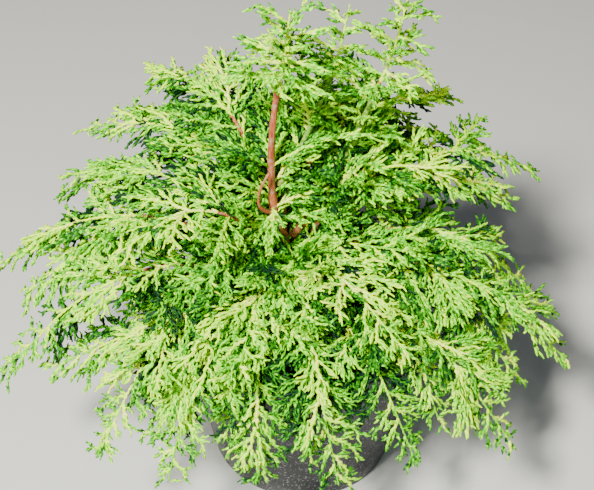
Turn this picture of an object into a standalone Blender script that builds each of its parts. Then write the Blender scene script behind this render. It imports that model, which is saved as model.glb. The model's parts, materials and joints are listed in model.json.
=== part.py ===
"""A young spreading false cypress in its black nursery pot.

Run with: blender --background --python part.py

Metres, +Z up. The origin is the centre of the pot's flat underside. Azimuths are
degrees from +X, counted towards +Y. The plant is a short trunk that forks into two
leaders, with boughs in two tiers round it. Each bough ends where its mass of foliage
begins: a stem with flat fans of scale-clad shoots, each fan one toothed blade.
"""

import math
import random

import bmesh
import bpy
import numpy as np
from mathutils import Matrix, Vector

# ---------------------------------------------------------------- driving sizes
GAP = 0.0003  # between solids that would touch
UP = Vector((0.0, 0.0, 1.0))

POT_HEIGHT = 0.135
POT_BASE_RADIUS = 0.066
POT_WALL_TOP_RADIUS = 0.0815  # outside of the wall, under the collar
POT_COLLAR_RADIUS = 0.0855
POT_COLLAR_HEIGHT = 0.017
POT_WALL = 0.0016
POT_FLOOR = 0.0022
POT_EDGE = 0.002  # rounding at the foot
POT_SIDES = 40
DRAIN_HOLES = 6
DRAIN_HOLE_RADIUS = 0.0055
DRAIN_HOLE_RING = 0.047
COMPOST_TOP = 0.121
COMPOST_CROWN = 0.0015  # the surface is a little higher at the trunk

# The trunk: centre line from the compost to the fork, and its radii.
TRUNK_FOOT = Vector((-0.006, 0.004, COMPOST_TOP + COMPOST_CROWN + GAP))
TRUNK_FORK = Vector((-0.018, 0.010, 0.196))
TRUNK_FLARE_RADIUS = 0.0095
TRUNK_RADIUS = 0.0062
TRUNK_FORK_RADIUS = 0.0046
TRUNK_FLARE_HEIGHT = 0.012
TRUNK_BOW = Vector((0.003, -0.002, 0.0))  # how far its centre line bows off the straight

BOUGH_RADIUS = 0.0022
BOUGH_TIP_RADIUS = 0.0013
LEADER_RADIUS = 0.0028
LEADER_TIP_RADIUS = 0.0017
TRUNK_SIDES = 10
TRUNK_SEGMENTS = 8
LIMB_SIDES = 5
LIMB_SEGMENTS = 6

STEM_RADIUS = 0.0019  # the stem inside a mass of foliage, which has three sides
STEM_TIP_RADIUS = 0.0013
STEM_SEGMENTS = 4
STEM_HANDLES = (0.36, 0.30)  # shares of the stem that its curve's two handles take
STEM_TURN = 0.6  # how far the last fan turns on from the stem's heading
LAST_FAN_SHARE = 0.6  # of a mass's reach, the most that its last fan takes

FAN_LENGTH = 0.056
FAN_THICKNESS = 0.0018  # at its middle
FAN_ROOT = 0.0005  # half the width of its root
FAN_SUNK = 0.0002  # how deep its root sits past its stem's centre line
FAN_SPACING = 0.027  # along one side of a stem
FAN_SPREADS = (62, 40)  # degrees off the stem, at its foot and at its end
FAN_SHINGLE = math.radians(15)  # how far a fan's face leans on along the stem, so that one lies over the next
FAN_LENGTHS = (0.86, 1.08)  # shares of FAN_LENGTH, drawn for each fan
FAN_TAPER = 0.4  # how much shorter fans get towards the stem's end
# A fan's right half, root to tip, as shares of its length: the tip of each lobe and the notch after it.
SIDE_FAN = ((0.44, 0.33), (0.47, 0.13), (0.79, 0.22), (0.72, 0.07))
END_FAN = ((0.32, 0.33), (0.40, 0.13), (0.62, 0.30), (0.62, 0.10), (0.86, 0.17), (0.80, 0.05))
FAN_MIDDLE = 0.40  # where the ridge is highest
FAN_CUTS = (1.0, 0.85, 0.72, 0.60, 0.50)  # shares of its length that a fan is tried at, until it fits
FAN_SWINGS = (0.0, 0.5, 1.1)  # how far it is then swung towards its stem's own direction
CREST_RISE = math.radians(22)  # of the fans that stand over a stem
CREST_LENGTH = 0.8
WHORL_FANS = 8  # round an upright stem at a top, where each is turned on by the golden angle
WHORL_CLIMB = (5, 45)  # degrees
FLATNESS = 2.2  # a mass's space is this much wider than it is high
CELL_MARGIN = 0.0004  # each mass stays this far inside its own space
NEIGHBOUR_REACH = 2.2 * FAN_LENGTH  # masses whose lines are further apart than this can't meet
LIMB_MARGIN = 0.0008
POT_MARGIN = 0.002
SAMPLE_STEPS = (0.0, 0.25, 0.5, 0.75, 1.0)  # along the edges of a blade's faces, where its fit is tried
GOLDEN_ANGLE = math.radians(137.5)
SEED = 7

# Every mass, as the azimuth and reach of its furthest tip from the trunk's line, and its height.
HEART = Vector((-0.014, 0.008, 0.0))
# The skirt is the lower, outer tier.
SKIRT = (
    (355, 0.168, 0.146),
    (18, 0.178, 0.196),
    (44, 0.162, 0.180),
    (72, 0.146, 0.165),
    (101, 0.140, 0.172),
    (135, 0.150, 0.206),
    (161, 0.160, 0.178),
    (179, 0.188, 0.156),
    (202, 0.190, 0.131),
    (226, 0.160, 0.112),
    (243, 0.152, 0.104),
    (264, 0.128, 0.102),
    (285, 0.138, 0.098),
    (306, 0.141, 0.102),
    (322, 0.182, 0.112),
    (340, 0.194, 0.137),
)
SKIRT_BOUGH_SHARE = 0.34  # of the reach, where the bough hands over to its mass
SKIRT_ARCH = 0.234  # a bough ends midway between its tip's height and this
SKIRT_LEVELS = (0.1385, 0.1325, 0.1505, 0.1445)  # where boughs leave the trunk, in turn

# The middle tier, over the skirt.
MIDDLE = (
    (4, 0.129, 0.216),
    (49, 0.105, 0.228),
    (91, 0.091, 0.230),
    (131, 0.134, 0.240),
    (202, 0.112, 0.204),
    (257, 0.106, 0.172),
    (308, 0.122, 0.178),
)
MIDDLE_BOUGH_SHARE = 0.28
MIDDLE_RISE = 0.006  # of a bough's end over its mass's tip
MIDDLE_LEVELS = (0.1675, 0.1595)

# The inner tier: short masses straight on the trunk, round the fork. With the height they leave it at.
INNER = (
    (111, 0.058, 0.254, 0.207),
    (168, 0.062, 0.224, 0.178),
    (230, 0.080, 0.200, 0.176),
    (282, 0.080, 0.188, 0.177),
    (336, 0.090, 0.204, 0.176),
)
INNER_ARCH = 0.3
BOUGH_ARCH = 0.42  # how much a bough bows upwards, as the tangent it leaves its chord at

# Where the two leaders end, and the furthest tips of the foliage on them.
LEADER_LEFT_TIP = Vector((-0.014, 0.012, 0.304))
LEADER_RIGHT_TIP = Vector((0.044, 0.030, 0.284))
TOP_BOUGH_TIP = Vector((0.016, 0.034, 0.292))
LEADER_RIGHT_LEVEL = 0.182
TOP_BOUGH_LEVEL = 0.222
LEADER_ARCH = -0.3
LEADER_BOW = Vector((-0.005, 0.003, 0.0))
TOP_LEFT = Vector((-0.008, 0.016, 0.346))
TOP_MIDDLE = Vector((0.027, 0.046, 0.334))
TOP_RIGHT = Vector((0.060, 0.030, 0.352))


# ---------------------------------------------------------------- small helpers
def compass(azimuth, radius, height):
    """The point at that azimuth in degrees, distance from the axis and height."""
    turn = math.radians(azimuth)
    return Vector((radius * math.cos(turn), radius * math.sin(turn), height))


def bezier(a, b, c, d, count):
    """count + 1 points along the cubic curve a, b, c, d."""
    points = []
    for step in range(count + 1):
        t = step / count
        s = 1.0 - t
        points.append(s**3 * a + 3 * s * s * t * b + 3 * s * t * t * c + t**3 * d)
    return points


def tangents(points):
    ends = [points[0], *points, points[-1]]
    return [(after - before).normalized() for before, after in zip(ends, ends[2:])]


def material(name, colour, roughness):
    made = bpy.data.materials.new(name)
    made.use_nodes = True
    shader = made.node_tree.nodes["Principled BSDF"]
    shader.inputs["Base Color"].default_value = (*colour, 1.0)
    shader.inputs["Roughness"].default_value = roughness
    shader.inputs["Metallic"].default_value = 0.0
    return made


def link(name, mesh, finish):
    piece = bpy.data.objects.new(name, mesh)
    mesh.materials.append(finish)
    bpy.context.scene.collection.objects.link(piece)
    return piece


def mesh_of(name, points, faces):
    mesh = bpy.data.meshes.new(name)
    mesh.from_pydata([tuple(p) for p in points], [], faces)
    mesh.update()
    return mesh


def tube_mesh(name, centres, radii, sides, facing=None):
    """A closed, tapering tube round a chain of centres, its first end square to facing if that is given."""
    points, faces = [], []
    along = tangents(centres)
    along[0] = facing or along[0]
    across = along[0].orthogonal().normalized()
    for centre, direction, radius in zip(centres, along, radii):
        across = (across - direction * across.dot(direction)).normalized()
        other = direction.cross(across)
        for side in range(sides):
            turn = 2 * math.pi * side / sides
            points.append(centre + radius * (math.cos(turn) * across + math.sin(turn) * other))
    for ring in range(len(centres) - 1):
        for side in range(sides):
            after = (side + 1) % sides
            low, high = ring * sides, (ring + 1) * sides
            faces.append((low + side, low + after, high + after, high + side))
    faces.append(tuple(reversed(range(sides))))
    faces.append(tuple(range(len(points) - sides, len(points))))
    return mesh_of(name, points, faces)


def taper(first, last, count):
    return [first + (last - first) * step / count for step in range(count + 1)]


# ---------------------------------------------------------------- pot and compost
def turned(name, profile, sides, finish):
    """A body turned round Z from a closed profile of (radius, height) points."""
    mesh = bpy.data.meshes.new(name)
    shape = bmesh.new()
    rings = []
    for radius, height in profile:
        if radius == 0.0:
            rings.append([shape.verts.new((0.0, 0.0, height))])
            continue
        turns = [2 * math.pi * side / sides for side in range(sides)]
        rings.append([shape.verts.new((radius * math.cos(a), radius * math.sin(a), height)) for a in turns])
    for lower, upper in zip(rings, rings[1:]):
        for side in range(sides):
            after = (side + 1) % sides
            corners = [lower[side % len(lower)], lower[after % len(lower)]]
            corners += [upper[after % len(upper)], upper[side % len(upper)]]
            shape.faces.new(list(dict.fromkeys(corners)))
    bmesh.ops.recalc_face_normals(shape, faces=shape.faces)
    shape.to_mesh(mesh)
    shape.free()
    mesh.shade_smooth()
    mesh.set_sharp_from_angle(angle=math.radians(35))
    return link(name, mesh, finish)


def wall_radius(height):
    """Outside of the pot's wall, without its collar."""
    share = height / (POT_HEIGHT - POT_COLLAR_HEIGHT)
    return POT_BASE_RADIUS + (POT_WALL_TOP_RADIUS - POT_BASE_RADIUS) * share


def pot(finish):
    collar_foot = POT_HEIGHT - POT_COLLAR_HEIGHT
    inner_top = POT_COLLAR_RADIUS - POT_WALL
    step_inside = collar_foot + POT_WALL
    profile = (
        (0.0, 0.0),
        (POT_BASE_RADIUS - POT_EDGE, 0.0),
        (POT_BASE_RADIUS, POT_EDGE),
        (wall_radius(collar_foot), collar_foot),
        (POT_COLLAR_RADIUS, collar_foot),
        (POT_COLLAR_RADIUS, POT_HEIGHT),
        (inner_top, POT_HEIGHT),
        (inner_top, step_inside),
        (wall_radius(step_inside) - POT_WALL, step_inside),
        (wall_radius(POT_FLOOR) - POT_WALL, POT_FLOOR),
        (0.0, POT_FLOOR),
    )
    body = turned("pot", profile, POT_SIDES, finish)
    for hole in range(DRAIN_HOLES):
        drill = bpy.data.meshes.new("drain_drill")
        shape = bmesh.new()
        place = Matrix.Translation(compass(360 * hole / DRAIN_HOLES, DRAIN_HOLE_RING, 0.0))
        bmesh.ops.create_cone(
            shape,
            cap_ends=True,
            segments=10,
            radius1=DRAIN_HOLE_RADIUS,
            radius2=DRAIN_HOLE_RADIUS,
            depth=4 * POT_FLOOR,
            matrix=place,
        )
        shape.to_mesh(drill)
        shape.free()
        cutter = bpy.data.objects.new("drain_drill", drill)
        bpy.context.scene.collection.objects.link(cutter)
        cutter.hide_render = True
        cutter.display_type = "WIRE"
        cut = body.modifiers.new(f"drain_{hole}", "BOOLEAN")
        cut.operation = "DIFFERENCE"
        cut.object = cutter


def compost(finish):
    """The root ball and the moist compost round it, as one plug inside the pot."""
    foot = POT_FLOOR + GAP
    step = POT_HEIGHT - POT_COLLAR_HEIGHT + POT_WALL
    profile = (
        (0.0, foot),
        (wall_radius(POT_FLOOR) - POT_WALL - GAP, foot),
        (wall_radius(step) - POT_WALL - GAP, step - GAP),
        (wall_radius(step) - POT_WALL - GAP, COMPOST_TOP),
        (0.0, COMPOST_TOP + COMPOST_CROWN),
    )
    turned("compost", profile, POT_SIDES, finish)


# ---------------------------------------------------------------- limbs
class Limb:
    """A tapering limb. centres and radii are kept, so that foliage can stay clear of it."""

    def __init__(self, name, centres, radii, finish, sides=LIMB_SIDES, facing=None):
        self.name = name
        self.centres = centres
        self.radii = radii
        mesh = tube_mesh(name, centres, radii, sides, facing)
        mesh.shade_smooth()
        link(name, mesh, finish)

    @property
    def tip(self):
        return self.centres[-1]

    @property
    def heading(self):
        return (self.centres[-1] - self.centres[-2]).normalized()

    def at_height(self, height):
        """Centre and radius where the limb passes that height."""
        for low, high, r_low, r_high in zip(self.centres, self.centres[1:], self.radii, self.radii[1:]):
            if low.z <= height <= high.z:
                share = (height - low.z) / (high.z - low.z)
                return low.lerp(high, share), r_low + (r_high - r_low) * share
        raise ValueError(f"{self.name} doesn't pass {height}")


def trunk(finish):
    """The main stem: a flared foot on the compost, then a slight lean to the fork."""
    lean = TRUNK_FORK - TRUNK_FOOT
    low, high = TRUNK_FOOT + lean / 3 + TRUNK_BOW, TRUNK_FORK - lean / 3 + TRUNK_BOW
    middle = bezier(TRUNK_FOOT, low, high, TRUNK_FORK, TRUNK_SEGMENTS)
    radii = []
    for centre in middle:
        rise = centre.z - TRUNK_FOOT.z
        share = rise / lean.z
        flare = max(0.0, 1.0 - rise / TRUNK_FLARE_HEIGHT) ** 2
        plain = TRUNK_RADIUS + (TRUNK_FORK_RADIUS - TRUNK_RADIUS) * share
        radii.append(plain + (TRUNK_FLARE_RADIUS - TRUNK_RADIUS) * flare)
    return Limb("trunk", middle, radii, finish, sides=TRUNK_SIDES, facing=UP)


def leave(parent, height, radius, towards, arch):
    """Where a limb of that radius starts, just clear of its parent, and its first direction."""
    centre, parent_radius = parent.at_height(height)
    leaving = ((towards - centre).normalized() + UP * arch).normalized()
    out = Vector((leaving.x, leaving.y, 0.0)).normalized()
    return centre + out * (parent_radius + GAP * 1.5 + radius * leaving.z), leaving


def limb_from(parent, name, height, end, arch, radii, finish):
    """A limb from its parent at a height to end. A positive arch bows it upwards, a negative one down."""
    start, leaving = leave(parent, height, radii[0], end, arch)
    chord = end - start
    arriving = (chord.normalized() - UP * arch).normalized()
    handle = chord.length / 3
    curve = bezier(start, start + leaving * handle, end - arriving * handle, end, LIMB_SEGMENTS)
    return Limb(name, curve, taper(radii[0], radii[1], LIMB_SEGMENTS), finish)


def leader_left(finish):
    """The leader that goes on up from the fork, with bare red-brown bark."""
    start = TRUNK_FORK + UP * (GAP * 2 + LEADER_RADIUS * 0.25)
    rise = LEADER_LEFT_TIP - start
    low, high = start + rise * 0.3 + LEADER_BOW, start + rise * 0.7 + LEADER_BOW
    curve = bezier(start, low, high, LEADER_LEFT_TIP, LIMB_SEGMENTS)
    return Limb("leader_left", curve, taper(LEADER_RADIUS, LEADER_TIP_RADIUS, LIMB_SEGMENTS), finish)


# ---------------------------------------------------------------- masses of foliage
class Mass:
    """One mass: where its stem starts and heads, where its furthest tip is, and how it grows."""

    def __init__(self, name, root, heading, tip, whorled=False, size=1.0):
        self.name = name
        self.root = root
        self.heading = heading
        self.tip = tip
        self.whorled = whorled
        self.size = size
        self.line = np.array([tuple(point) for point in (*self.stem(), tip)])

    def gap_to(self, other):
        """The distance between two masses' lines, from the points along each."""
        return np.linalg.norm(self.line[:, None] - other.line[None], axis=2).min()

    def stem(self):
        """The stem's centres. The last fan goes on from its end to the tip."""
        start = self.root + self.heading * GAP
        reach = self.tip - start
        last = min(FAN_LENGTH * self.size, reach.length * LAST_FAN_SHARE)
        chord = reach.length - last
        arriving = (reach.normalized() * (1 + STEM_TURN) - self.heading * STEM_TURN).normalized()
        end = self.tip - arriving * last
        leaving_handle, arriving_handle = (chord * share for share in STEM_HANDLES)
        low, high = start + self.heading * leaving_handle, end - arriving * arriving_handle
        return bezier(start, low, high, end, STEM_SEGMENTS)


def level_frame(ahead):
    """The level direction to the right of a heading, and the one square to both."""
    side = ahead.cross(UP)
    side = side.normalized() if side.length > 0.2 else ahead.orthogonal().normalized()
    return side, side.cross(ahead).normalized()


def whorl_direction(turn, climb, along):
    """A direction round the stem's own direction, climbing along it."""
    across = along.orthogonal().normalized()
    other = along.cross(across)
    ring = across * math.cos(turn) + other * math.sin(turn)
    return (ring * math.cos(climb) + along * math.sin(climb)).normalized()


def fans_of(mass):
    """(root, direction, normal, length, half outline) of each fan, from the stem's foot to its tip."""
    draw = random.Random(SEED + sum(ord(letter) for letter in mass.name) * 31)
    stem = mass.stem()
    along = tangents(stem)
    run = sum((after - before).length for before, after in zip(stem, stem[1:]))
    places = WHORL_FANS if mass.whorled else 3 * max(2, round(run / FAN_SPACING))
    fans = []
    turn = draw.uniform(0, 2 * math.pi)
    for place in range(places):
        row = place % 3 - 1  # left, over the stem, right
        share = (place + 0.6) / places
        piece = min(int(share * STEM_SEGMENTS), STEM_SEGMENTS - 1)
        here = stem[piece].lerp(stem[piece + 1], share * STEM_SEGMENTS - piece)
        ahead = along[piece].lerp(along[piece + 1], share * STEM_SEGMENTS - piece).normalized()
        side, face = level_frame(ahead)
        length = FAN_LENGTH * mass.size * draw.uniform(*FAN_LENGTHS) * (1.04 - FAN_TAPER * share)
        if mass.whorled:
            turn += GOLDEN_ANGLE
            direction = whorl_direction(turn, math.radians(draw.uniform(*WHORL_CLIMB)), ahead)
            normal = UP + side * draw.uniform(-0.4, 0.4)
        elif row:
            spread = FAN_SPREADS[0] + (FAN_SPREADS[1] - FAN_SPREADS[0]) * share + draw.uniform(-4, 4)
            spread = math.radians(spread)
            droop = math.radians(draw.uniform(-9, 3))
            across = side * row * math.cos(droop) + face * math.sin(droop)
            direction = ahead * math.cos(spread) + across * math.sin(spread)
            normal = face * math.cos(FAN_SHINGLE) + ahead * math.sin(FAN_SHINGLE)
        else:
            lean = draw.uniform(-0.5, 0.5)
            direction = ahead * math.cos(CREST_RISE) + face * math.sin(CREST_RISE) + side * lean
            normal = face * math.cos(CREST_RISE) - ahead * math.sin(CREST_RISE)
            length *= CREST_LENGTH
        direction.normalize()
        normal = (normal - direction * normal.dot(direction)).normalized()
        fans.append((here, direction, normal, length, SIDE_FAN))
    end, ahead = stem[-1], (mass.tip - stem[-1]).normalized()
    fans.append((end, ahead, level_frame(ahead)[1], (mass.tip - end).length, END_FAN))
    return fans


def fan_mesh(name, root, direction, normal, length, half_outline):
    """One flat spray as a toothed blade, thickest at its middle, with a square root."""
    across = normal.cross(direction)

    def world(x, y, z):
        return root + direction * x + across * y + normal * z

    right = [world(length * x, length * y, 0.0) for x, y in half_outline]
    left = [world(length * x, -length * y, 0.0) for x, y in reversed(half_outline)]
    rim = [*right, world(length, 0.0, 0.0), *left]
    over, right_root, under, left_root = (
        world(-FAN_SUNK, y, z)
        for y, z in ((0.0, FAN_ROOT), (FAN_ROOT, 0.0), (0.0, -FAN_ROOT), (-FAN_ROOT, 0.0))
    )
    crown = world(length * FAN_MIDDLE, 0.0, FAN_THICKNESS / 2)
    keel = world(length * FAN_MIDDLE, 0.0, -FAN_THICKNESS / 2)
    verts = [*rim, over, right_root, under, left_root, crown, keel]
    first, last = 0, len(rim) - 1
    over, right_root, under, left_root, crown, keel = range(len(rim), len(rim) + 6)
    faces = [(over, right_root, under, left_root)]
    for step in range(last):
        faces += [(step, crown, step + 1), (step + 1, keel, step)]
    faces += [(right_root, crown, first), (right_root, over, crown)]
    faces += [(first, keel, right_root), (keel, under, right_root)]
    faces += [(last, crown, left_root), (crown, over, left_root)]
    faces += [(left_root, keel, last), (left_root, under, keel)]
    mesh = mesh_of(name, verts, faces)
    shape = bmesh.new()
    shape.from_mesh(mesh)
    bmesh.ops.recalc_face_normals(shape, faces=shape.faces)
    shape.to_mesh(mesh)
    shape.free()
    return mesh


def sampled(mesh):
    """Points over a small mesh, at each face's corners, middle and edges."""
    found = []
    for face in mesh.polygons:
        corners = [np.array(mesh.vertices[i].co) for i in face.vertices]
        for a in SAMPLE_STEPS:
            for b in SAMPLE_STEPS:
                if a + b <= 1.0:
                    found.append(corners[0] * (1 - a - b) + corners[1] * a + corners[2] * b)
    return np.array(found)


def clear_of_limbs(points, limbs):
    for limb in limbs:
        centres = np.array([tuple(c) for c in limb.centres])
        for step in range(len(centres) - 1):
            start, end = centres[step], centres[step + 1]
            run = end - start
            share = np.clip((points - start) @ run / (run @ run), 0.0, 1.0)
            away = np.linalg.norm(points - start - share[:, None] * run, axis=1)
            if (away < max(limb.radii[step : step + 2]) + LIMB_MARGIN).any():
                return False
    return True


def clear_of_pot(points):
    low = points[points[:, 2] < POT_HEIGHT + POT_MARGIN]
    return bool((np.hypot(low[:, 0], low[:, 1]) > POT_COLLAR_RADIUS + POT_MARGIN).all())


def distance_to(points, centres):
    """How far each point is from a chain of centres."""
    nearest = np.full(len(points), np.inf)
    for start, end in zip(centres, centres[1:]):
        run = end - start
        share = np.clip((points - start) @ run / (run @ run), 0.0, 1.0)
        nearest = np.minimum(nearest, np.linalg.norm(points - start - share[:, None] * run, axis=1))
    return nearest


def in_own_space(points, mass, neighbours):
    """Whether points are nearer to this mass's line than to any other's, with heights counted FLATNESS times."""
    flat = np.array((1.0, 1.0, FLATNESS))
    own = distance_to(points * flat, mass.line * flat)
    for other in neighbours:
        if (distance_to(points * flat, other.line * flat) - own < 2 * FLATNESS * CELL_MARGIN).any():
            return False
    return True


def keep_outer_shell(mesh):
    """Removes every shell of a mesh but its largest, such as a hollow that blades seal between them."""
    shape = bmesh.new()
    shape.from_mesh(mesh)
    waiting = set(shape.faces)
    shells = []
    while waiting:
        front = [waiting.pop()]
        shell = []
        while front:
            face = front.pop()
            shell.append(face)
            for edge in face.edges:
                for beside in edge.link_faces:
                    if beside in waiting:
                        waiting.remove(beside)
                        front.append(beside)
        shells.append(shell)
    shells.sort(key=lambda shell: sum(face.calc_area() for face in shell))
    bmesh.ops.delete(shape, geom=[face for shell in shells[:-1] for face in shell], context="FACES")
    shape.to_mesh(mesh)
    shape.free()


def fitted(fan, mass, neighbours, limbs):
    """A fan's blade, shortened and swung towards the mass's tip until it fits, or None."""
    root, direction, normal, length, half_outline = fan
    onward = (mass.tip - root).normalized()
    for cut in FAN_CUTS:
        for swing in FAN_SWINGS:
            heading = (direction + onward * swing).normalized()
            face = (normal - heading * normal.dot(heading)).normalized()
            blade = fan_mesh("fan", root, heading, face, length * cut, half_outline)
            points = sampled(blade)
            clear = clear_of_pot(points) and clear_of_limbs(points, limbs)
            if clear and in_own_space(points, mass, neighbours):
                return blade
    return None


def grow(mass, masses, limbs, finish):
    """Fuses a mass's stem and fans into one node, and leaves out what would touch or stray."""
    stem = mass.stem()
    radii = taper(STEM_RADIUS, STEM_TIP_RADIUS, STEM_SEGMENTS)
    piece = link(mass.name, tube_mesh(mass.name, stem, radii, 3, facing=mass.heading), finish)
    neighbours = [other for other in masses if other is not mass and mass.gap_to(other) < NEIGHBOUR_REACH]
    sprays = bpy.data.collections.new(mass.name + "_fans")
    blades = [fitted(fan, mass, neighbours, limbs) for fan in fans_of(mass)]
    if blades[-1] is None:
        raise ValueError(f"{mass.name} doesn't reach its tip")
    for blade in filter(None, blades):
        sprays.objects.link(bpy.data.objects.new("fan", blade))
    join = piece.modifiers.new("join", "BOOLEAN")
    join.operation = "UNION"
    join.operand_type = "COLLECTION"
    join.collection = sprays
    graph = bpy.context.evaluated_depsgraph_get()
    joined = bpy.data.meshes.new_from_object(piece.evaluated_get(graph))
    keep_outer_shell(joined)
    piece.modifiers.clear()
    piece.data = joined
    for spray in list(sprays.objects):
        bpy.data.objects.remove(spray)
    bpy.data.collections.remove(sprays)


# ---------------------------------------------------------------- the plant
def skirt_bough_height(tip_height):
    return (tip_height + SKIRT_ARCH) / 2


def middle_bough_height(tip_height):
    return tip_height + MIDDLE_RISE


def build():
    for thing in list(bpy.data.objects):
        bpy.data.objects.remove(thing)
    black_plastic = material("black_polypropylene", (0.021, 0.021, 0.023), 0.5)
    bark_compost = material("bark_compost", (0.045, 0.028, 0.018), 0.95)
    bark = material("red_brown_bark", (0.32, 0.11, 0.05), 0.8)
    scales = material("scale_leaves", (0.22, 0.48, 0.06), 0.55)

    pot(black_plastic)
    compost(bark_compost)
    stem = trunk(bark)
    left = leader_left(bark)
    leader_radii = (LEADER_RADIUS, LEADER_TIP_RADIUS)
    bough_radii = (BOUGH_RADIUS, BOUGH_TIP_RADIUS)
    right = limb_from(stem, "leader_right", LEADER_RIGHT_LEVEL, LEADER_RIGHT_TIP, LEADER_ARCH, leader_radii, bark)
    top = limb_from(left, "top_bough", TOP_BOUGH_LEVEL, TOP_BOUGH_TIP, LEADER_ARCH, bough_radii, bark)
    limbs = [stem, left, right, top]
    masses = []
    for tier, table, share, end_height, levels in (
        ("skirt", SKIRT, SKIRT_BOUGH_SHARE, skirt_bough_height, SKIRT_LEVELS),
        ("middle", MIDDLE, MIDDLE_BOUGH_SHARE, middle_bough_height, MIDDLE_LEVELS),
    ):
        for number, (azimuth, reach, height) in enumerate(table, start=1):
            level = levels[number % len(levels)]
            end = HEART + compass(azimuth, reach * share, end_height(height))
            bough = limb_from(stem, f"{tier}_bough_{number:02d}", level, end, BOUGH_ARCH, bough_radii, bark)
            limbs.append(bough)
            tip = HEART + compass(azimuth, reach, height)
            masses.append(Mass(f"{tier}_foliage_{number:02d}", bough.tip, bough.heading, tip))
    for number, (azimuth, reach, height, level) in enumerate(INNER, start=1):
        tip = HEART + compass(azimuth, reach, height)
        parent = stem if level < TRUNK_FORK.z else left
        foot, heading = leave(parent, level, STEM_RADIUS, tip, INNER_ARCH)
        masses.append(Mass(f"inner_foliage_{number:02d}", foot, heading, tip, size=0.9))
    masses.append(Mass("top_foliage_left", left.tip, left.heading, TOP_LEFT, whorled=True, size=0.80))
    masses.append(Mass("top_foliage_middle", top.tip, top.heading, TOP_MIDDLE, whorled=True, size=0.56))
    masses.append(Mass("top_foliage_right", right.tip, right.heading, TOP_RIGHT, whorled=True, size=0.70))
    for mass in masses:
        grow(mass, masses, limbs, scales)


build()
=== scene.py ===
# %% [markdown]
# # A young false cypress in its black nursery pot
#
# This lesson dresses a plain model of a small conifer. The model brings the pot, the
# compost, the trunk with its boughs, and a toothed blade for each fan of foliage.
# Here the blades become what they stand for: thousands of thin shoots, each clad in
# tiny scale leaves. Everything is in metres, +Z is up, and the origin is the centre
# of the pot's underside.

import json
import math
import random

import bmesh
import bpy
import numpy as np
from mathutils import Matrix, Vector, noise

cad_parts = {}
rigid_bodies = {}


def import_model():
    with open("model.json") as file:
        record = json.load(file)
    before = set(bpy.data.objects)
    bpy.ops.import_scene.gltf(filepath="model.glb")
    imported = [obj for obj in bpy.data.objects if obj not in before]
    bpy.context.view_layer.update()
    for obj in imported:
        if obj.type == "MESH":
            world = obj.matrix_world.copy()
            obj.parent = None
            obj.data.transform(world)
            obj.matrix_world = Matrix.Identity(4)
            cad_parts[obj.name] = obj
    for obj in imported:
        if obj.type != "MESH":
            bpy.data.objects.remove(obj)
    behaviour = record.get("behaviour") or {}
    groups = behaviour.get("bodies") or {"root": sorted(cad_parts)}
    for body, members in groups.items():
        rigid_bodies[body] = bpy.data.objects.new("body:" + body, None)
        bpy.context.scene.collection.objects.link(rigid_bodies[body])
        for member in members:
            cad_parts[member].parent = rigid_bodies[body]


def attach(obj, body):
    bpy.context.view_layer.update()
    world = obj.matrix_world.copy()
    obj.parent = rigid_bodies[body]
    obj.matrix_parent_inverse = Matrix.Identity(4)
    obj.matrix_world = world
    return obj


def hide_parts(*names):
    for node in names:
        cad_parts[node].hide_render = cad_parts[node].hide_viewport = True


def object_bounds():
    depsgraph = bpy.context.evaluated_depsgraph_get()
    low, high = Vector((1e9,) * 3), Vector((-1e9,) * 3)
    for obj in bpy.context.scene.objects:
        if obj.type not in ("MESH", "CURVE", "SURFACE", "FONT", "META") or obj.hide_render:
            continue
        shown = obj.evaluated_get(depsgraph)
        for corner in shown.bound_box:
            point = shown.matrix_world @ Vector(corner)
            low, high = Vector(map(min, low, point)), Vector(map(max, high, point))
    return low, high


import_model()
CAD_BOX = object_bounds()
BOX_LOW, BOX_HIGH = (np.array(corner) for corner in CAD_BOX)
print("model box, mm:", [round(1000 * side) for side in BOX_HIGH - BOX_LOW])

# %% [markdown]
# ## Camera, floor and light
#
# A plant this size is looked down on from a step away. A longish lens keeps the pot
# from ballooning. The floor is one pale sheet. The light comes from a small panel high
# in front, so that every shoot throws a crisp shade on the next one and each spray
# stands clear of what is under it. A wide, weak panel and a dim sky open the shadows.

# %% Camera
CAMERA_PLACE = Vector((-0.004, -0.560, 0.706))
LOOK_DOWN = math.radians(43)

camera = bpy.data.objects.new("camera", bpy.data.cameras.new("camera"))
bpy.context.scene.collection.objects.link(camera)
camera.data.lens = 72
camera.data.sensor_width = 36
camera.data.clip_start = 0.01
camera.location = CAMERA_PLACE
camera.rotation_euler = (math.radians(90) - LOOK_DOWN, 0, 0)
bpy.context.scene.camera = camera
print("camera stands", round(camera.location.length, 2), "m from the pot's foot")


# %% Colours and nodes
def srgb(code):
    """'#rrggbb' as the linear RGBA that a shader takes."""
    parts = [int(code[i : i + 2], 16) / 255 for i in (1, 3, 5)]
    linear = [c / 12.92 if c <= 0.04045 else ((c + 0.055) / 1.055) ** 2.4 for c in parts]
    return (*linear, 1.0)


def wire(tree, node, inputs):
    """Fill a node's inputs, each with a value, a '#rrggbb' colour, another node or one output of it."""
    for name, value in inputs.items():
        # A Mix node has several inputs of the same name, of which only one set is in use.
        socket = next(s for s in node.inputs if s.enabled and name in (s.name, s.identifier))
        if isinstance(value, bpy.types.Node):
            value = next(s for s in value.outputs if s.enabled)
        if isinstance(value, bpy.types.NodeSocket):
            tree.links.new(value, socket)
        else:
            socket.default_value = srgb(value) if isinstance(value, str) else value


def add(tree, kind, inputs=None, **settings):
    """One node of that kind, with its settings and its inputs."""
    node = tree.nodes.new(kind)
    for name, value in settings.items():
        setattr(node, name, value)
    wire(tree, node, inputs or {})
    return node


def new_material(name):
    """A material, its node tree and its Principled shader."""
    made = bpy.data.materials.new(name)
    made.use_nodes = True
    return made, made.node_tree, made.node_tree.nodes["Principled BSDF"]


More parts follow.
